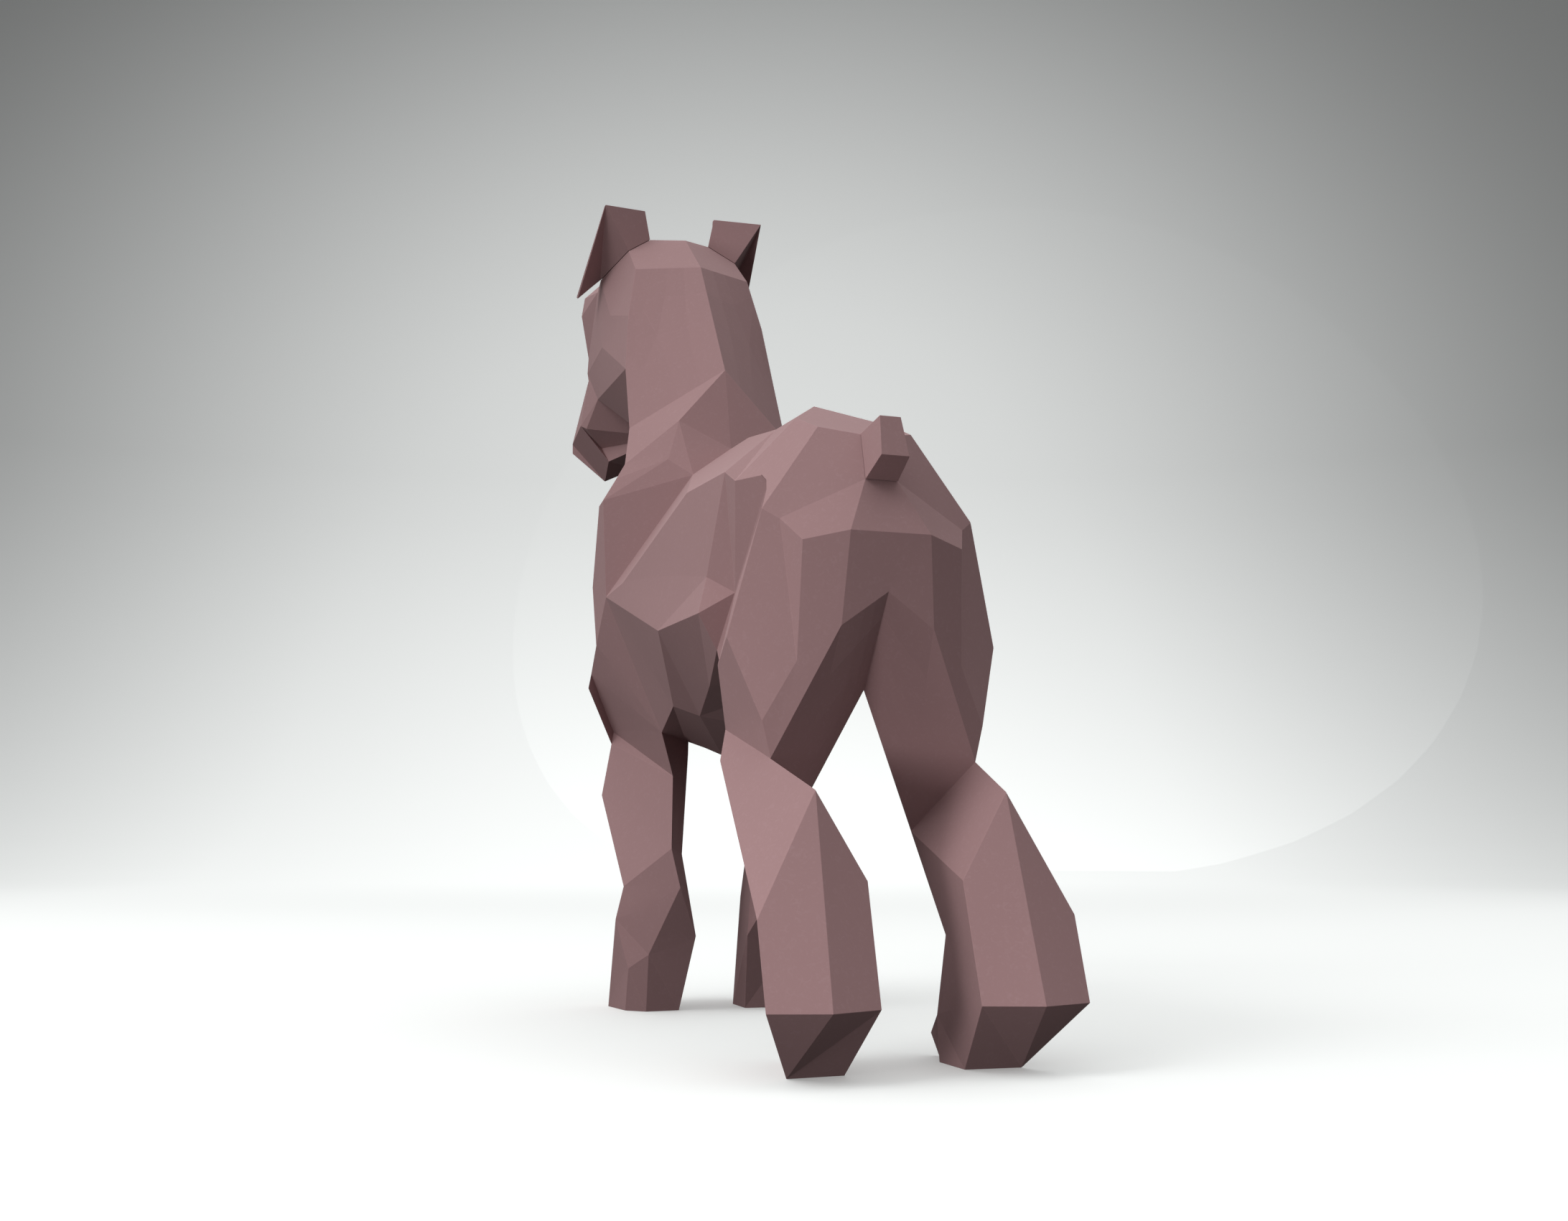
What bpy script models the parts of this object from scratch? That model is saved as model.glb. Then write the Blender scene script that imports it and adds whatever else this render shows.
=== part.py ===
# Papercraft dog: a standing terrier folded and glued from matte card.
# The closed shell of body, head and legs is skinned between chains of fold corners,
# one chain to each cross fold of the kit, for the dog's left half and then mirrored.
# The two drop ears and the docked tail are glued-on pieces of their own.
# The dog looks along -Y, its left side is +X, and its feet stand on Z = 0.
import bpy
import bmesh
from mathutils import Vector

# Driving dimensions, in metres.
LEG_HEIGHT = 0.130          # floor to the lowest fold of the chest
TRUNK_DEPTH = 0.156         # lowest fold of the chest to the withers
HEAD_HEIGHT = 0.164         # withers to the top fold of the ears
HEAD_REACH = 0.136          # front of the nose to the front of the shoulder
TRUNK_LENGTH = 0.200        # front of the shoulder to the flank
HIND_LENGTH = 0.136         # flank to the back of the hind feathering
BODY_WIDTH = 0.126          # across the feathering of the hind legs, the widest place
GLUE_GAP = 0.0003           # line of glue left round each glued-on piece
EAR_CARD = 0.0016           # doubled card of the hanging flap of an ear

# The fold corners are counted in steps, and each of those sizes has its own number of steps.
BANDS_UP = ((130, LEG_HEIGHT), (156, TRUNK_DEPTH), (164, HEAD_HEIGHT))
BANDS_ALONG = ((136, HEAD_REACH), (200, TRUNK_LENGTH), (136, HIND_LENGTH))
STEPS_ACROSS = 126
NOSE = -236                 # steps from the middle of the length to the front of the nose

SAME_CORNER = 0.00001       # metres; corners nearer than this are one corner
FLAT_FOLD = 0.002           # radians; a fold flatter than this is no fold


def reach(steps, bands):
    """The distance that a number of steps covers from the start of the first band."""
    distance = 0.0
    for count, length in bands:
        distance += min(steps, count) * length / count
        steps -= min(steps, count)
    return distance


def at(across, along, up):
    """A fold corner: steps out from the centre line, back from the middle, up from the floor."""
    return Vector((
        across * BODY_WIDTH / STEPS_ACROSS,
        reach(along - NOSE, BANDS_ALONG) - reach(-NOSE, BANDS_ALONG),
        reach(up, BANDS_UP),
    ))


def centre(corner):
    """The place on the centre line level with a corner."""
    return Vector((0.0, corner.y, corner.z))


# Corners of the rump and the seat of the tail.
tail_top = at(5.5, 176, 247)
tail_low = at(7, 184.5, 226.5)
croup = at(0, 107, 276.5)
croup_side = at(22, 144.5, 260)
rump_top = at(20.5, 167, 251)
rump_low = at(17, 194, 204)
hip = at(45.5, 170.5, 215)
hip_low = at(39.5, 175, 210.5)
ham_top = at(34, 186, 200.5)
ham_in = at(19.5, 190, 167)
crotch_back = at(0, 191, 181)
crotch_front = at(0, 164, 144.5)

# Corners of the thigh.
ham_mid = at(35, 182, 153.5)
ham_low = at(47, 175.5, 130.5)
thigh_out = at(58, 164.5, 164)
thigh_front = at(56, 146, 154.5)
thigh_edge = at(53.5, 162, 182)
knee_back = at(43.5, 175.5, 116)
knee_out = at(49.5, 136, 129.5)
knee_low = at(54, 143.5, 116.5)
knee_in = at(26.5, 149, 88.5)
knee_front = at(42, 126, 127)

# Corners of the hind leg below the knee.
hock_back = at(38.5, 212, 103)
hock_out = at(63, 218.5, 57)
hock_in = at(19, 214, 70)
feather_out = at(63, 228.5, 25.5)
feather_mid = at(41, 236, 25.5)
feather_in = at(19.5, 227.5, 25.5)
heel_out = at(47, 204, 0)
heel_in = at(24, 202.5, 0)
sole_in = at(24, 180, 0)
shin_in = at(25, 185, 48.5)
ankle_in = at(25, 176, 17.5)
toe_tip = at(31, 156.5, 8.5)
toe_sole = at(32, 162, 0)
shin_front = at(38, 148, 96)
shin_low = at(38, 162, 56)
ankle_front = at(37, 162, 22)

# Corners of the back and the flank.
loin = at(0, 54.5, 278.5)
back_mid = at(0, 12.5, 284.5)
withers = at(0, -17.5, 285.5)
loin_low = at(37.5, 157.5, 232.5)
loin_side = at(45.5, 135, 233.5)
flank_top = at(46, 122, 240)
rib_top = at(49, 73.5, 240.5)
rib_side = at(57, -13.5, 212)
rib_front = at(59, -42, 208.5)
rib_low = at(56, 51.5, 180)
flank_mid = at(49, 105.5, 197)
flank_back = at(40, 118, 189)
flank_low = at(54, 110.5, 180.5)
waist = at(34, 152, 168)
waist_low = at(45, 108.5, 165)

# Corners of the belly.
belly_back = at(36, 67.5, 153.5)
belly_mid = at(28, 25, 143.5)
belly_front = at(12, -55.5, 136.5)
keel_back = at(0, 105, 163)
keel_rear = at(0, 67.5, 154.5)
keel_mid = at(0, 25, 139)
keel_front = at(0, -32, 129)
brisket = at(0, -93, 139)
arm_root = at(22, -84, 137)

# Corners of the neck and the shoulder.
nape = at(0, -28.5, 330.5)
nape_side = at(26.5, -23, 299.5)
neck_top = at(39, -84.5, 373.5)
neck_high = at(42.5, -75, 340)
neck_mid = at(44, -58, 302.5)
neck_low = at(51, -38, 278)
scapula = at(33, -19, 278)
scapula_low = at(22.5, -9.5, 268.5)
shoulder_back = at(62, -39, 258.5)
shoulder_top = at(55.5, -37.5, 270)
shoulder_front = at(62, -48, 257)
chest_side = at(58, -78.5, 219)
arm_top = at(58, -67.5, 186.5)
throat = at(0, -150, 323)
throat_side = at(22, -132, 322)
breast_high = at(0, -118, 278)
breast_side = at(36, -100, 262)
breast = at(0, -130, 222)
breast_mid = at(40, -112, 222)
breast_low = at(0, -116, 172)
arm_front = at(40, -110, 178)

# Corners of the front leg.
elbow_back = at(37, 10, 149)
elbow_low = at(32, -30, 139)
cuff_out = at(56, -87.5, 173.5)
cuff_low = at(58, -85, 165.5)
cuff_in = at(43, -93.5, 136.5)
cuff_back = at(41, -96.5, 143)
cuff_front = at(36, -104, 135)
arm_back = at(24, -37, 117.5)
arm_in = at(9.5, -60, 129.5)
arm_out = at(49, -88.5, 109)
wrist_in = at(29, -20, 81)
wrist_out = at(47, -45, 62)
wrist_side = at(19, -36.5, 78)
pad_back = at(25, -17.5, 62)
pad_out = at(50, -49, 45.5)
pad_low = at(36, -36, 28.5)
pad_side = at(44.5, -43.5, 21.5)
pastern_in = at(13.5, -29, 37.5)
fore_heel_in = at(17.5, -45, 0)
fore_heel = at(35, -43.5, 0)
fore_heel_out = at(43.5, -52.5, 0)
fore_sole_out = at(46.5, -77, 0)
fore_sole_in = at(18, -67.5, 0)
fore_knee_in = at(20.5, -63, 55.5)
fore_arm_in = at(31, -78, 98)
fore_arm = at(37, -102, 108)
fore_knee = at(33, -95, 60)
fore_toe_top = at(33, -90, 16)
fore_toe_out = at(37, -94, 0)
fore_toe_in = at(27, -90, 0)

# Corners of the skull and the seat of the ear.
poll = at(0, -76, 403)
poll_side = at(33, -93.5, 404)
crown = at(0, -108, 430)
crown_front = at(0, -160, 430)
ear_seat_in = at(17.5, -121.5, 433)
ear_seat_out = at(32, -114.5, 422)
ear_seat_front = at(39.5, -153.5, 416.5)
ear_seat_far = ear_seat_in + (ear_seat_front - ear_seat_out) * 0.5
temple = at(39, -163.5, 412.5)
brow = at(0, -202, 420)
brow_side = at(40, -195.5, 418.5)
brow_out = at(42, -194.5, 406.5)
stop = at(0, -205, 396)
eye = at(38, -191, 379)
socket = at(26, -206, 386)

# Corners of the cheek, the muzzle and the beard.
cheek_high = at(40, -125, 386)
cheek = at(41.5, -138, 370.5)
jaw_top = at(38, -193.5, 370)
jaw = at(36, -172, 348.5)
lip_top = at(38, -190, 364.5)
moustache = at(41, -196.5, 337.5)
moustache_low = at(39, -189, 334)
beard_back = at(28, -195, 324)
beard_edge = at(25, -188, 314.5)
beard_low = at(22, -211, 307)
beard_front = at(40, -225, 332.5)
beard_corner = at(40, -224.5, 326.5)
beard_tip = at(20, -232, 316)
chin = at(0, -222, 319)
chin_front = at(0, -234, 330)
lip_front = at(20, -236, 346)
muzzle_side = at(22, -232, 366)
nose_side = at(11, -233, 375)
nose_low = at(0, -236, 357)
nose_top = at(0, -230, 384)

# Corners of the ear above its seat.
ear_top_out = at(47, -110.5, 446.5)
ear_top_in = at(21, -121, 450)
ear_tip = at(52, -159.5, 405.5)
ear_flap_in = at(28, -151, 430)

# Corners of the far end of the tail.
tail_end_top = at(4.5, 194, 250.5)
tail_end_low = at(6, 199, 233.5)


def rump():
    """Croup, seat of the tail, buttocks and the back of the ham."""
    return [
        ([croup, centre(tail_top), centre(tail_low), centre(rump_low), crotch_back],
         [croup_side, tail_top, tail_low, rump_low, ham_in]),
        ([croup_side, tail_top, tail_low, rump_low, ham_in],
         [rump_top, rump_top, hip_low, ham_top, ham_mid]),
        ([rump_top, hip_low], [hip, hip]),
    ]


def thigh():
    """Ham, outer thigh, inner thigh and the front of the thigh down to the knee."""
    return [
        ([ham_in, ham_mid], [knee_back, ham_low]),
        ([hip_low, ham_top], [ham_mid, ham_mid]),
        ([hip, thigh_out, thigh_out], [hip_low, ham_mid, ham_low]),
        ([thigh_out, ham_low, knee_back], [thigh_front, knee_out, knee_out]),
        ([hip, thigh_out], [thigh_edge, thigh_front]),
        ([crotch_back, crotch_front], [ham_in, knee_in]),
        ([ham_in, knee_in], [knee_back, knee_back]),
        ([waist] * 6, [loin_low, hip, thigh_edge, thigh_front, knee_out, knee_front]),
        ([waist, waist_low, keel_back], [knee_front, knee_in, crotch_front]),
    ]


def hind_leg():
    """Lower leg with its feathering, from the knee to the sole."""
    outer = [knee_out, knee_low, hock_out, feather_out, feather_out, heel_out]
    ridge = [knee_front, shin_front, shin_low, ankle_front, toe_tip, toe_sole]
    inner = [knee_in, knee_in, shin_in, ankle_in, ankle_in, sole_in]
    return [
        ([knee_out, knee_low, hock_out], [knee_back, knee_back, hock_back]),
        ([knee_back, hock_back, hock_in], [knee_in, knee_in, knee_in]),
        ([hock_out, hock_back, hock_in], [feather_out, feather_mid, feather_in]),
        ([feather_out, feather_mid, feather_in], [heel_out, heel_out, heel_in]),
        (outer, ridge),
        (ridge, inner),
        ([knee_in, shin_in, ankle_in, sole_in], [hock_in, hock_in, feather_in, heel_in]),
        ([heel_out, heel_in], [toe_sole, sole_in]),
    ]


def back():
    """Roof-shaped back from the croup to the withers."""
    return [
        ([croup_side] * 4, [rump_top, hip, loin_low, loin_side]),
        ([croup, loin, loin, back_mid], [croup_side, loin_side, flank_top, flank_top]),
        ([flank_top, back_mid, withers], [rib_top, rib_top, scapula_low]),
    ]


def flank():
    """Ribs, loin and waist between the upper arm and the thigh."""
    return [
        ([rib_top, scapula_low], [rib_side, rib_front]),
        ([rib_top, flank_mid, flank_low], [rib_side, rib_side, rib_low]),
        ([rib_top, flank_mid], [flank_top, flank_back]),
        ([flank_top, flank_back], [loin_side, loin_side]),
        ([loin_side, flank_back], [loin_low, waist]),
        ([flank_mid, flank_low], [flank_back, flank_back]),
        ([flank_low, waist_low], [flank_back, waist]),
    ]


def belly():
    """Underside from the waist to the brisket."""
    return [
        ([waist_low, flank_low, rib_low, elbow_back, elbow_low],
         [belly_back, belly_back, belly_mid, belly_front, belly_front]),
        ([waist_low, belly_back, belly_mid, belly_front],
         [keel_back, keel_rear, keel_mid, keel_front]),
        ([keel_front, belly_front, arm_in, arm_root], [brisket] * 4),
    ]


def front_leg():
    """Upper arm, cuff of hair, forearm, pad and foot."""
    outer = [cuff_in, arm_out, wrist_out, pad_out, pad_out, fore_sole_out]
    ridge = [cuff_front, fore_arm, fore_knee, fore_knee, fore_toe_top, fore_toe_out]
    return [
        ([rib_front] * 4, [rib_side, rib_low, elbow_back, elbow_low]),
        ([rib_front, elbow_low, elbow_low, cuff_back], [arm_top, arm_top, cuff_out, cuff_out]),
        ([cuff_out, cuff_low], [cuff_back, cuff_in]),
        ([cuff_back, arm_back], [elbow_low, elbow_low]),
        ([cuff_back, cuff_in, arm_out], [arm_back, wrist_in, wrist_out]),
        ([wrist_out, pad_out, pad_side], [wrist_in, pad_back, pad_low]),
        ([pad_back, pad_low, fore_heel], [pastern_in, pastern_in, fore_heel_in]),
        ([pad_low, fore_heel], [pad_side, fore_heel_out]),
        ([pad_side, fore_heel_out], [pad_out, fore_sole_out]),
        ([arm_back, wrist_in, pad_back], [arm_in, wrist_side, pastern_in]),
        ([elbow_low, arm_back], [belly_front, arm_in]),
        ([arm_in, wrist_side, pastern_in, fore_heel_in],
         [fore_arm_in, fore_knee_in, fore_knee_in, fore_sole_in]),
        ([arm_root, arm_root], [fore_arm_in, arm_in]),
        ([fore_arm_in, fore_knee_in, fore_knee_in, fore_sole_in],
         [fore_arm, fore_knee, fore_toe_top, fore_toe_in]),
        ([fore_toe_top, fore_toe_top], [fore_toe_in, fore_toe_out]),
        (outer, ridge),
        ([fore_heel, fore_heel_out, fore_sole_out, fore_toe_out],
         [fore_heel_in, fore_heel_in, fore_sole_in, fore_toe_in]),
        ([arm_top, cuff_out, cuff_low, cuff_in], [arm_front, arm_front, arm_front, cuff_front]),
        ([arm_front, cuff_front, fore_arm], [breast_low, arm_root, fore_arm_in]),
        ([breast_low, brisket], [arm_root, arm_root]),
    ]


def neck_and_chest():
    """Neck, withers, shoulder and the front of the chest."""
    side = [neck_high, neck_mid, neck_low, shoulder_top,
            shoulder_back, shoulder_front, chest_side, arm_top]
    front = [throat_side, throat_side, throat_side, breast_side,
             breast_side, breast_side, breast_mid, arm_front]
    return [
        ([nape] * 4, [poll, poll_side, neck_top, neck_high]),
        ([nape, nape_side, nape_side], [neck_high, neck_mid, neck_low]),
        ([nape, withers], [nape_side, scapula_low]),
        ([nape_side, scapula_low], [scapula, scapula]),
        ([scapula, shoulder_back], [scapula_low, rib_front]),
        ([nape_side, neck_low], [scapula, shoulder_top]),
        ([scapula, shoulder_top], [shoulder_back, shoulder_back]),
        ([rib_front] * 4, [shoulder_back, shoulder_front, chest_side, arm_top]),
        (side, front),
        ([throat_side, breast_side, breast_mid, arm_front], [throat, breast_high, breast, breast_low]),
    ]


def skull():
    """Back and top of the head, the flat seat of the ear, the temple and the cheek."""
    return [
        ([poll, crown], [poll_side, ear_seat_out]),
        ([crown, crown], [ear_seat_in, ear_seat_out]),
        ([ear_seat_in, ear_seat_out], [ear_seat_far, ear_seat_front]),
        ([crown, crown_front, brow], [ear_seat_in, ear_seat_far, brow_side]),
        ([ear_seat_front, temple, brow_side], [ear_seat_far] * 3),
        ([ear_seat_out, ear_seat_front, temple, eye, jaw_top],
         [cheek_high, cheek_high, cheek, cheek, cheek]),
        ([temple, eye], [brow_side, brow_out]),
        ([poll_side, neck_top, neck_high], [ear_seat_out, cheek_high, cheek]),
        ([cheek, jaw_top, lip_top], [neck_high, jaw, jaw]),
    ]


def muzzle():
    """Brow, stop, nose, lip and beard."""
    return [
        ([brow, stop], [brow_side, brow_out]),
        ([brow_out, eye, jaw_top], [stop, socket, socket]),
        ([stop, nose_top], [socket, nose_side]),
        ([socket, socket], [nose_side, muzzle_side]),
        ([socket, muzzle_side, muzzle_side], [jaw_top, lip_top, beard_front]),
        ([nose_top, nose_low], [nose_side, nose_side]),
        ([nose_side, nose_low], [muzzle_side, lip_front]),
        ([muzzle_side, lip_front], [beard_front, beard_front]),
        ([nose_low, chin_front], [lip_front, beard_tip]),
        ([lip_front, beard_tip], [beard_front, beard_corner]),
        ([chin_front, chin], [beard_tip, beard_low]),
        ([beard_tip, beard_low], [beard_corner, beard_corner]),
        ([lip_top, moustache], [jaw, moustache_low]),
        ([lip_top, moustache], [beard_front, beard_front]),
        ([moustache_low, beard_back, beard_edge, beard_low],
         [moustache, moustache, beard_front, beard_corner]),
        ([neck_high, jaw], [throat_side, throat]),
        ([jaw, moustache_low, beard_back, beard_edge, beard_low],
         [throat, throat, throat, throat, chin]),
    ]


def skin(name, chains, mirrored):
    """Cover the strips between pairs of chains with card panels and close them into one piece."""
    mesh = bmesh.new()
    for chain_a, chain_b in chains:
        for i in range(len(chain_a) - 1):
            loop = [chain_a[i], chain_a[i + 1], chain_b[i + 1], chain_b[i]]
            corners = [c for k, c in enumerate(loop) if (c - loop[k - 1]).length > SAME_CORNER]
            mesh.faces.new([mesh.verts.new(c) for c in corners])
    bmesh.ops.remove_doubles(mesh, verts=mesh.verts, dist=SAME_CORNER)
    bmesh.ops.triangulate(mesh, faces=mesh.faces, quad_method='SHORT_EDGE')
    data = bpy.data.meshes.new(name)
    mesh.to_mesh(data)
    mesh.free()
    piece = bpy.data.objects.new(name, data)
    figure.objects.link(piece)
    if mirrored:
        mirror = piece.modifiers.new("Mirror", 'MIRROR')
        mirror.use_bisect_axis[0] = True
        mirror.merge_threshold = SAME_CORNER
        apply_modifiers(piece)
    return piece


def apply_modifiers(piece):
    bpy.context.view_layer.objects.active = piece
    for modifier in list(piece.modifiers):
        bpy.ops.object.modifier_apply(modifier=modifier.name)


def reflected(corner):
    """The matching corner on the dog's right."""
    return Vector((-corner.x, corner.y, corner.z))


def close_outward(piece):
    """Join panels that lie flat with each other and turn them all to face out."""
    mesh = bmesh.new()
    mesh.from_mesh(piece.data)
    bmesh.ops.dissolve_limit(mesh, angle_limit=FLAT_FOLD, verts=mesh.verts, edges=mesh.edges)
    bmesh.ops.recalc_face_normals(mesh, faces=mesh.faces)
    mesh.to_mesh(piece.data)
    mesh.free()


def settle(all_pieces):
    """Stand the figure with the middle of its whole box over the origin and its soles on the floor."""
    corners = [v.co for piece in all_pieces for v in piece.data.vertices]
    middle = (min(c.y for c in corners) + max(c.y for c in corners)) / 2
    floor = min(c.z for c in corners)
    for piece in all_pieces:
        for vertex in piece.data.vertices:
            vertex.co -= Vector((0.0, middle, floor))


def lifted(seat, gap):
    """The corners of a flat seat moved out from it by the line of glue."""
    normal = (seat[1] - seat[0]).cross(seat[2] - seat[0]).normalized()
    return [corner + normal * gap for corner in seat]


def ear():
    """Ear of the dog's left: a folded stand on the skull and a flap hanging forward from its top."""
    inner, far, front, outer = lifted([ear_seat_in, ear_seat_far, ear_seat_front, ear_seat_out], GLUE_GAP)
    under = [ear_top_in, ear_top_out, ear_tip, ear_flap_in]
    out = (ear_top_in - ear_top_out).cross(ear_tip - ear_top_out).normalized()
    fold = Vector((0.0, -EAR_CARD / abs(out.y), 0.0))
    over = [ear_top_in + fold, ear_top_out + fold, ear_tip + out * EAR_CARD, ear_flap_in + out * EAR_CARD]
    return [
        ([inner, outer], [ear_top_in, ear_top_out]),
        ([outer, outer], [ear_top_out, front]),
        ([inner, inner], [ear_top_in, far]),
        ([inner, outer], [far, front]),
        ([ear_top_out, front, far, ear_top_in], [ear_tip, ear_tip, ear_flap_in, ear_flap_in]),
        (under + under[:1], over + over[:1]),
        (over[:2], [over[3], over[2]]),
    ]


def tail():
    """Docked tail: a tapered box standing on its seat."""
    left = lifted([tail_top, tail_low, centre(tail_low), centre(tail_top)], GLUE_GAP)
    ends = [tail_end_top, tail_end_low, centre(tail_end_low), centre(tail_end_top)]
    return [
        (left[:3], ends[:3]),
        ([left[3], left[0]], [ends[3], ends[0]]),
        (left[:2], [left[3], left[2]]),
        (ends[:2], [ends[3], ends[2]]),
    ]


def card(name, colour):
    """Matte coloured card."""
    material = bpy.data.materials.new(name)
    material.use_nodes = True
    shader = material.node_tree.nodes["Principled BSDF"]
    shader.inputs["Base Color"].default_value = (*colour, 1.0)
    shader.inputs["Roughness"].default_value = 0.9
    return material


for old in list(bpy.data.objects):
    bpy.data.objects.remove(old, do_unlink=True)

figure = bpy.data.collections.new("papercraft_dog")
bpy.context.scene.collection.children.link(figure)

shell_chains = (rump() + thigh() + hind_leg() + back() + flank() + belly()
                + front_leg() + neck_and_chest() + skull() + muzzle())
shell = skin("dog_shell", shell_chains, True)
left_ear = skin("ear_left", ear(), False)
right_ear = skin("ear_right", [([reflected(c) for c in a], [reflected(c) for c in b]) for a, b in ear()], False)
stub = skin("tail", tail(), True)

pieces = [shell, left_ear, right_ear, stub]
for piece in pieces:
    close_outward(piece)
    piece.data.materials.append(card("Card_" + piece.name, (0.36, 0.22, 0.22)))
settle(pieces)
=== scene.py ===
# Papercraft dog folded from dusty-rose card, standing on a pale studio floor.
# The card panels are flat between scored folds, and bend softly over the folds that aren't scored.
import bpy
import math
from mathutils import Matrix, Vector


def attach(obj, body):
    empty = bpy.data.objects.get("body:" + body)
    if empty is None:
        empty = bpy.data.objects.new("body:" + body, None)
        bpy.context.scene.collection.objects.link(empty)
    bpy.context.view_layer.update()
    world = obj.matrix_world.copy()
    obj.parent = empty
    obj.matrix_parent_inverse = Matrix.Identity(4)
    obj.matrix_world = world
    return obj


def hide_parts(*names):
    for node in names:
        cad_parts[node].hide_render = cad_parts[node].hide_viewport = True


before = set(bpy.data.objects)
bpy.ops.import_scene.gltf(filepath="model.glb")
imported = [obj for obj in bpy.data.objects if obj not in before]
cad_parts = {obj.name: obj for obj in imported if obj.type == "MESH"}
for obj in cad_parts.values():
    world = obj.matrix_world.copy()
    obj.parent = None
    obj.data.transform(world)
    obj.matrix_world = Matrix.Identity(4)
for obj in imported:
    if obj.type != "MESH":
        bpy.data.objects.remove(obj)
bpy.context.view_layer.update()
print("frame loaded:", ", ".join(sorted(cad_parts)))


def setInputs(tree, node, inputs):
    # an input takes a number, a colour, a place, or what another node puts out
    for name, value in inputs.items():
        if isinstance(value, bpy.types.NodeSocket):
            tree.links.new(value, node.inputs[name])
        else:
            node.inputs[name].default_value = value


def addNode(tree, kind, inputs, **settings):
    node = tree.nodes.new(kind)
    for name, value in settings.items():
        setattr(node, name, value)
    setInputs(tree, node, inputs)
    return node


def newMaterial(name):
    material = bpy.data.materials.new(name)
    material.use_nodes = True
    return material, material.node_tree, material.node_tree.nodes["Principled BSDF"]


cardLook = {
    "colour": (0.360, 0.214, 0.217),    # dusty rose
    "specular": 0.30,
    "sheen": 0.04,                      # a trace of bloom from the short fibres
    "sheenRoughness": 0.6,
    "cloudiness": 0.025,                # slow change of tone over a sheet
    "cloudsPerMetre": 14.0,
    "cloudDetail": 3.0,
    "paleFlecks": 0.018,                # how much paler the palest fibres are
    "fibresPerMetre": 420.0,
    "fibreDetail": 4.0,
    "fibreTwist": 1.6,
    "fleckBand": (0.52, 0.80),          # where in the fibres a fleck starts, and where it is full
    "grainSize": 0.0006,                # metres across one bump of the card's tooth
    "grainDetail": 5.0,
    "grainHarshness": 0.6,
    "grainDepth": 0.00001,              # metres
    "roughness": (0.76, 0.90),          # from the hollows to the tops of the tooth
    "tooth": 0.6,                       # how strongly the tooth shows on a panel
    "scoredTooth": 0.9,                 # and where a fold is scored
    "scoreLift": 0.06,                  # how much paler the card is where a fold is scored
}


def roseCard(name, lift, tooth):
    # matte through-coloured card: slow clouds, short fibres and a fine tooth
    material, tree, shader = newMaterial(name)
    place = addNode(tree, "ShaderNodeTexCoord", {}).outputs["Object"]
    sheet = [part * (1.0 + lift) for part in cardLook["colour"]]
    dark = [part * (1.0 - cardLook["cloudiness"]) for part in sheet]
    light = [part * (1.0 + cardLook["cloudiness"]) for part in sheet]
    pale = [min(1.0, part + cardLook["paleFlecks"]) for part in light]
    fleckStart, fleckFull = cardLook["fleckBand"]
    smooth, rough = cardLook["roughness"]

    clouds = addNode(tree, "ShaderNodeTexNoise", {
        "Vector": place,
        "Scale": cardLook["cloudsPerMetre"],
        "Detail": cardLook["cloudDetail"],
    })
    fibres = addNode(tree, "ShaderNodeTexNoise", {
        "Vector": place,
        "Scale": cardLook["fibresPerMetre"],
        "Detail": cardLook["fibreDetail"],
        "Distortion": cardLook["fibreTwist"],
    })
    grain = addNode(tree, "ShaderNodeTexNoise", {
        "Vector": place,
        "Scale": 1.0 / cardLook["grainSize"],
        "Detail": cardLook["grainDetail"],
        "Roughness": cardLook["grainHarshness"],
    })

    cloudTone = addNode(tree, "ShaderNodeMix", {
        "Factor": clouds.outputs["Fac"], "A": (*dark, 1.0), "B": (*light, 1.0),
    }, data_type="RGBA")
    fleckAmount = addNode(tree, "ShaderNodeMapRange", {
        "Value": fibres.outputs["Fac"], "From Min": fleckStart, "From Max": fleckFull,
    })
    fleckTone = addNode(tree, "ShaderNodeMix", {
        "Factor": fleckAmount.outputs["Result"], "A": cloudTone.outputs["Result"], "B": (*pale, 1.0),
    }, data_type="RGBA")
    roughness = addNode(tree, "ShaderNodeMapRange", {
        "Value": grain.outputs["Fac"], "To Min": smooth, "To Max": rough,
    })
    bump = addNode(tree, "ShaderNodeBump", {
        "Height": grain.outputs["Fac"], "Strength": tooth, "Distance": cardLook["grainDepth"],
    })
    setInputs(tree, shader, {
        "Base Color": fleckTone.outputs["Result"],
        "Roughness": roughness.outputs["Result"],
        "Normal": bump.outputs["Normal"],
        "Specular IOR Level": cardLook["specular"],
        "Sheen Weight": cardLook["sheen"],
        "Sheen Roughness": cardLook["sheenRoughness"],
    })
    return material


card = roseCard("roseCard", 0.0, cardLook["tooth"])
scored = roseCard("roseCardScored", cardLook["scoreLift"], cardLook["scoredTooth"])
print("card mixed")


foldWork = {
    "sameCorner": 0.00001,   # metres; corners nearer than this are one corner
    "flatPanel": 0.3,        # degrees; a flatter edge lies inside a panel
    "scoredAbove": 7.0,      # degrees; a flatter fold isn't scored, and the card bends softly over it
    "unscored": [            # middles of steeper folds that the card only bends over, on the dog's left
        (0.0165, -0.0610, 0.3673),     # nape to the back of the ear
        (0.0195, -0.0565, 0.3520),     # nape to the top of the neck's side
        (0.0213, -0.0518, 0.3353),     # nape to the middle of the neck's side
        (0.0230, 0.0673, 0.2623),      # middle of the back to the flank
        (0.0098, 0.1770, 0.1558),      # between the thighs
    ],
    "nearEnough": 0.002,     # metres from those middles
    "panelCuts": 2,          # how finely the soft bends are divided
    "foldRadius": 0.00015,   # metres, the round of a scored fold
    "foldSegments": 2,
    "roundedAbove": 4.9,     # degrees; a scored fold can be this flat once the panels beside it bend
}

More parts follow.
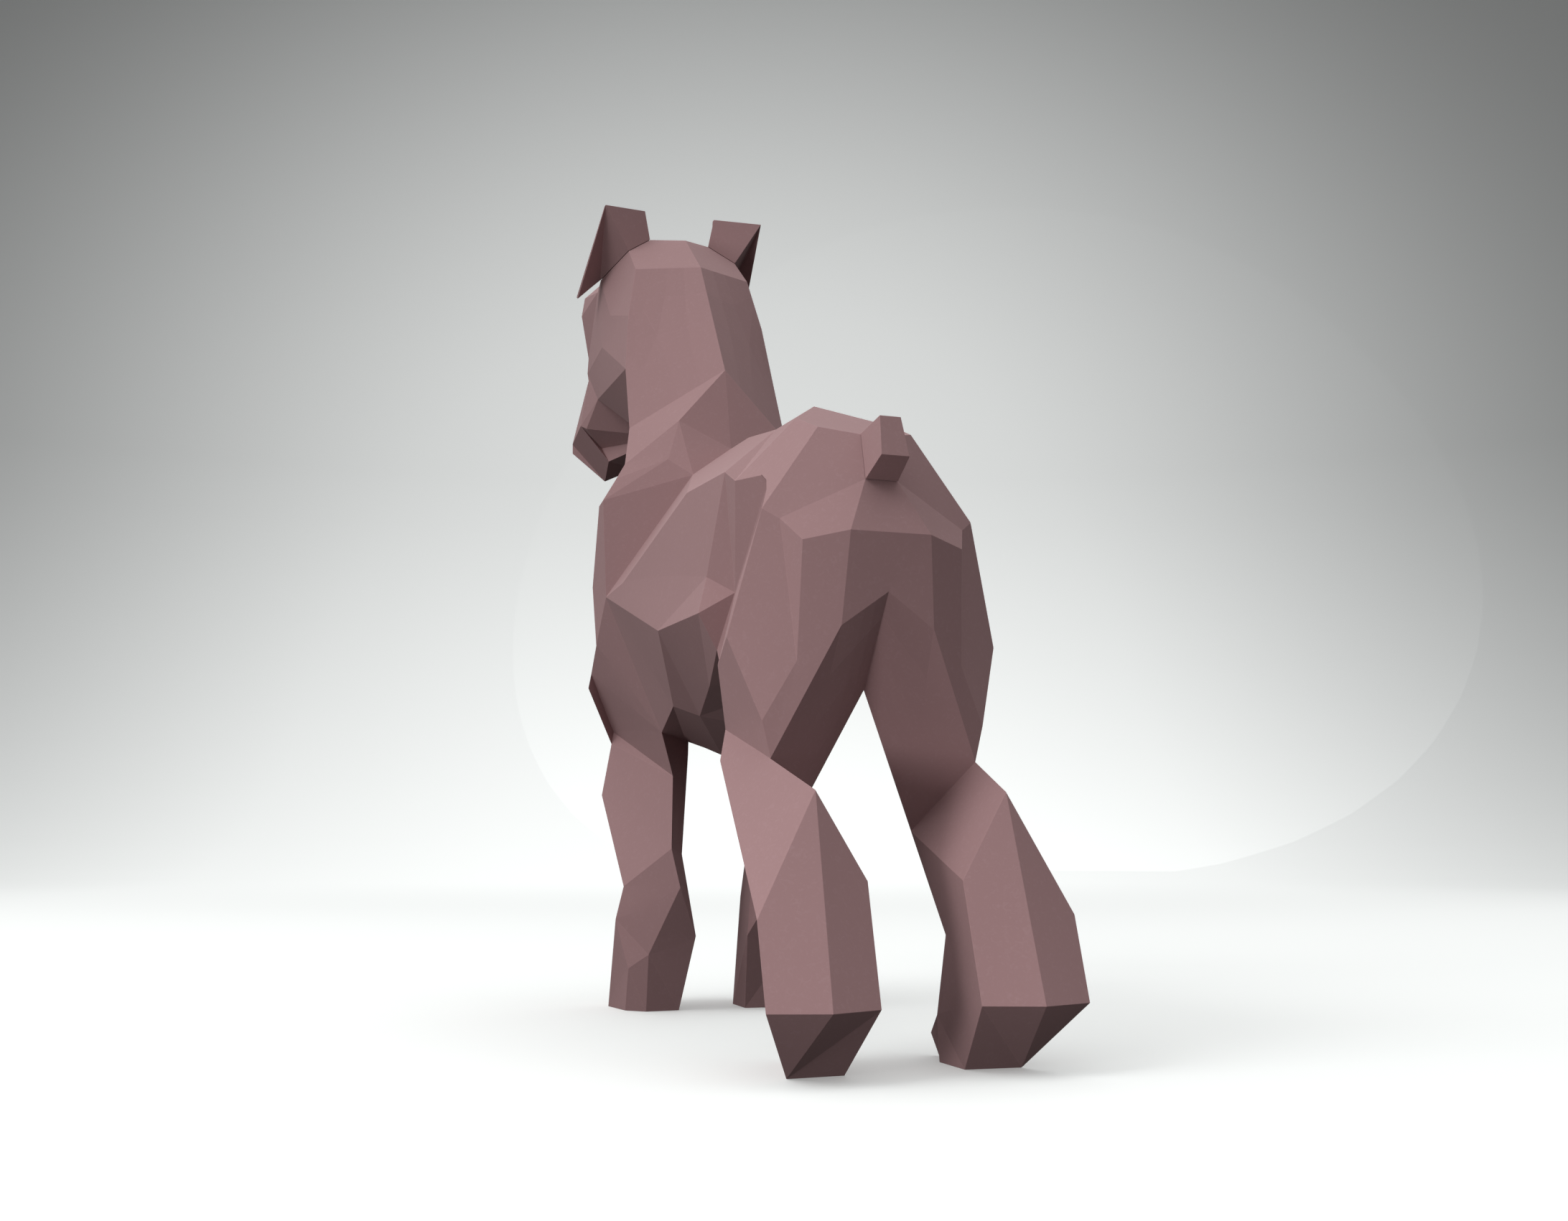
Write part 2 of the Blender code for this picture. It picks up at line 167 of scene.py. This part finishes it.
cardPieces = {               # each solid of the frame, and the folded piece that stands for it
    "dog_shell": "dogShell",
    "ear_left": "leftEar",
    "ear_right": "rightEar",
    "tail": "tailStub",
}


def selectOnly(piece):
    bpy.ops.object.select_all(action="DESELECT")
    piece.select_set(True)
    bpy.context.view_layer.objects.active = piece


def applyModifier(piece, name, kind, **settings):
    modifier = piece.modifiers.new(name, kind)
    for key, value in settings.items():
        setattr(modifier, key, value)
    selectOnly(piece)
    bpy.ops.object.modifier_apply(modifier=modifier.name)


def selectUnscored(piece):
    # the steeper folds that aren't scored, on both sides of the dog
    corners = piece.data.vertices
    for fold in piece.data.edges:
        middle = (corners[fold.vertices[0]].co + corners[fold.vertices[1]].co) / 2
        middle.x = abs(middle.x)
        fold.select = any((middle - Vector(place)).length < foldWork["nearEnough"]
                          for place in foldWork["unscored"])
    print(piece.name, "left unscored:", sum(fold.select for fold in piece.data.edges))


def foldFromNode(nodeName, pieceName):
    # the panels of a CAD solid, creased at the scored folds, rounded there and softly bent elsewhere
    piece = bpy.data.objects.new(pieceName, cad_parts[nodeName].data.copy())
    bpy.context.scene.collection.objects.link(piece)
    piece.data.materials.clear()
    piece.data.materials.append(card)
    piece.data.materials.append(scored)
    selectOnly(piece)
    bpy.ops.object.mode_set(mode="EDIT")
    bpy.ops.mesh.select_mode(type="EDGE")
    bpy.ops.mesh.select_all(action="SELECT")
    bpy.ops.mesh.customdata_custom_splitnormals_clear()
    bpy.ops.mesh.remove_doubles(threshold=foldWork["sameCorner"])
    bpy.ops.mesh.dissolve_limited(angle_limit=math.radians(foldWork["flatPanel"]))
    bpy.ops.mesh.mark_sharp(clear=True)
    bpy.ops.mesh.select_all(action="DESELECT")
    bpy.ops.object.mode_set(mode="OBJECT")
    selectUnscored(piece)
    bpy.ops.object.mode_set(mode="EDIT")
    bpy.ops.mesh.dissolve_edges(use_verts=False)
    bpy.ops.mesh.select_all(action="DESELECT")
    bpy.ops.mesh.edges_select_sharp(sharpness=math.radians(foldWork["scoredAbove"]))
    bpy.ops.transform.edge_crease(value=1.0)
    bpy.ops.transform.vert_crease(value=1.0)
    bpy.ops.object.mode_set(mode="OBJECT")
    cuts = foldWork["panelCuts"]
    applyModifier(piece, "bend", "SUBSURF", levels=cuts, render_levels=cuts)
    applyModifier(piece, "fold", "BEVEL",
                  width=foldWork["foldRadius"], segments=foldWork["foldSegments"],
                  limit_method="ANGLE", angle_limit=math.radians(foldWork["roundedAbove"]),
                  use_clamp_overlap=False, harden_normals=True,
                  material=1)           # the rounds take the scored card
    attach(piece, "root")
    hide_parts(nodeName)
    print(pieceName, "folded:", len(piece.data.polygons), "faces")


for nodeName, pieceName in cardPieces.items():
    foldFromNode(nodeName, pieceName)


studio = {
    "floorRadius": 2.7,      # metres of flat floor round the dog
    "sweepRadius": 1.1,      # metres, the curve from the floor up to the wall
    "wallHeight": 5.0,       # metres
    "sides": 128,            # of the round floor
    "curveSteps": 12,
    "pale": (0.82, 0.84, 0.83),      # paint inside the painted pools of light
    "paintedShade": (0.46, 0.47, 0.465),      # darker paint away from them: painted shade
    "roughness": 0.9,
    "specular": 0.1,
    # colour of the painted glow: the paint glows in the pools though no lamp is there
    "paintedGlow": (0.98, 1.0, 0.99),
    "paintedLightPools": [                       # middle of a painted pool of light, how far out it is full and gone, how strongly its paint glows
        ((0.0, -0.4, 0.0), 1.2, 4.4, 0.20),
        ((-1.15, -3.62, 0.85), 0.3, 2.8, 0.42),
    ],
}


def studioPaintedLight():
    # pale paint with two soft pools of light painted into it, which glow, on the floor round the dog
    # and on the wall it looks at; the darker paint away from them is painted shade
    paint, tree, shader = newMaterial("studioPaintedLight")
    place = addNode(tree, "ShaderNodeTexCoord", {}).outputs["Object"]
    paintedPoolMask = 0.0
    paintedGlow = 0.0
    for middle, full, gone, strength in studio["paintedLightPools"]:
        away = addNode(tree, "ShaderNodeVectorMath", {0: place, 1: middle}, operation="DISTANCE")
        fade = addNode(tree, "ShaderNodeMapRange", {
            "Value": away.outputs["Value"],
            "From Min": full,
            "From Max": gone,
            "To Min": 1.0,
            "To Max": 0.0,
        }, interpolation_type="SMOOTHSTEP").outputs["Result"]
        paintedPoolMask = addNode(tree, "ShaderNodeMath", {0: fade, 1: paintedPoolMask},
                      operation="ADD", use_clamp=True).outputs[0]
        paintedGlow = addNode(tree, "ShaderNodeMath", {0: fade, 1: strength, 2: paintedGlow},
                       operation="MULTIPLY_ADD").outputs[0]
    # painted light and shade: pale paint inside the pools, darker paint away from them
    tone = addNode(tree, "ShaderNodeMix", {
        "Factor": paintedPoolMask, "A": (*studio["paintedShade"], 1.0), "B": (*studio["pale"], 1.0),
    }, data_type="RGBA")
    setInputs(tree, shader, {
        "Base Color": tone.outputs["Result"],
        "Roughness": studio["roughness"],
        "Specular IOR Level": studio["specular"],
        "Emission Color": (*studio["paintedGlow"], 1.0),
        "Emission Strength": paintedGlow,
    })
    paint.cycles.emission_sampling = "NONE"      # the painted glow is seen, and lights nothing
    return paint


def paintedStudio():
    # round sweep: a disc of floor whose rim is drawn out and up into a wall
    bpy.ops.object.select_all(action="DESELECT")
    bpy.ops.mesh.primitive_circle_add(vertices=studio["sides"], radius=studio["floorRadius"],
                                      fill_type="NGON")
    sweep = bpy.context.active_object
    sweep.name = "studioSweep"
    bpy.ops.object.mode_set(mode="EDIT")
    bpy.ops.mesh.select_mode(type="EDGE")
    bpy.ops.mesh.select_all(action="SELECT")
    radius = studio["floorRadius"]
    height = 0.0
    for step in range(1, studio["curveSteps"] + 1):
        turn = math.radians(90) * step / studio["curveSteps"]
        newRadius = studio["floorRadius"] + studio["sweepRadius"] * math.sin(turn)
        newHeight = studio["sweepRadius"] * (1.0 - math.cos(turn))
        bpy.ops.mesh.extrude_edges_move(TRANSFORM_OT_translate={"value": (0, 0, newHeight - height)})
        bpy.ops.transform.resize(value=(newRadius / radius, newRadius / radius, 1.0))
        radius = newRadius
        height = newHeight
    wall = studio["wallHeight"] - height
    bpy.ops.mesh.extrude_edges_move(TRANSFORM_OT_translate={"value": (0, 0, wall)})
    bpy.ops.mesh.select_all(action="SELECT")
    bpy.ops.mesh.normals_make_consistent(inside=True)
    bpy.ops.object.mode_set(mode="OBJECT")
    bpy.ops.object.shade_smooth()
    sweep.data.materials.append(studioPaintedLight())
    sweep.visible_diffuse = False     # the floor throws no light up under the belly
    sweep.visible_glossy = False


paintedStudio()
print("studio painted")


lightPlan = {
    "topBox": {              # high on the dog's left
        "place": (1.6, 0.3, 1.6),
        "aim": (0.0, 0.0, 0.2),
        "size": 1.2,
        "watts": 13.0,
    },
    "lowBox": {              # just above the floor, behind the dog on its left
        "place": (0.55, 0.45, 0.05),
        "aim": (0.0, 0.0, 0.2),
        "size": 0.2,
        "watts": 1.3,
    },
    "heelCard": {            # on the floor behind the heels, for the light that a floor throws back
        "place": (-0.03, 0.40, 0.004),
        "aim": (0.0, 0.2, 0.03),
        "size": 0.14,
        "watts": 0.08,
    },
}


def hangLight(name, plan):
    towards = Vector(plan["aim"]) - Vector(plan["place"])
    bpy.ops.object.light_add(type="AREA", location=plan["place"],
                             rotation=towards.to_track_quat("-Z", "Y").to_euler())
    lamp = bpy.context.active_object
    lamp.name = name
    lamp.data.name = name
    lamp.data.shape = "DISK"
    lamp.data.size = plan["size"]
    lamp.data.energy = plan["watts"]
    lamp.visible_camera = False


for lampName, lampPlan in lightPlan.items():
    hangLight(lampName, lampPlan)

roomLight = {
    "flat": 0.035,           # the same from every side
    "above": [               # more from the ceiling, from before the dog and from its left
        ((0, 0, 1), 1.15),
        ((0, -1, 0), 0.70),
        ((1, 0, 0), 0.15),
    ],
    "rise": 4.0,             # how quickly that comes up above the horizon
}


def lightRoom():
    # soft light of the room, all of it but the flat part from above the floor
    world = bpy.data.worlds.new("studioRoom")
    bpy.context.scene.world = world
    world.use_nodes = True
    tree = world.node_tree
    outwards = addNode(tree, "ShaderNodeTexCoord", {}).outputs["Generated"]
    total = 0.0
    for side, strength in roomLight["above"]:
        along = addNode(tree, "ShaderNodeVectorMath", {0: outwards, 1: side}, operation="DOT_PRODUCT")
        facing = addNode(tree, "ShaderNodeMath", {0: along.outputs["Value"], 1: 0.0},
                         operation="MAXIMUM")
        total = addNode(tree, "ShaderNodeMath", {0: facing.outputs[0], 1: strength, 2: total},
                        operation="MULTIPLY_ADD").outputs[0]
    height = addNode(tree, "ShaderNodeSeparateXYZ", {0: outwards}).outputs["Z"]
    aboveFloor = addNode(tree, "ShaderNodeMath", {0: height, 1: roomLight["rise"]},
                         operation="MULTIPLY", use_clamp=True).outputs[0]
    room = addNode(tree, "ShaderNodeMath", {0: total, 1: aboveFloor, 2: roomLight["flat"]},
                   operation="MULTIPLY_ADD").outputs[0]
    setInputs(tree, tree.nodes["Background"], {"Color": (1.0, 1.0, 1.0, 1.0), "Strength": room})


lightRoom()
print("lights hung")


cameraPlan = {
    "place": (0.2476, 0.7789, 0.0841),   # low, behind the dog and a little to its left
    "turn": (97.99, 0.0, 160.84),        # degrees
    "lens": 37.9,                        # mm
    "sensor": 36.0,                      # mm wide
    "clipStart": 0.01,                   # metres
}
bpy.ops.object.camera_add(location=cameraPlan["place"],
                          rotation=[math.radians(angle) for angle in cameraPlan["turn"]])
camera = bpy.context.active_object
camera.name = "studioCamera"
camera.data.lens = cameraPlan["lens"]
camera.data.sensor_width = cameraPlan["sensor"]
camera.data.clip_start = cameraPlan["clipStart"]
bpy.context.scene.camera = camera
bpy.context.scene.view_settings.view_transform = "Standard"
print("camera set")
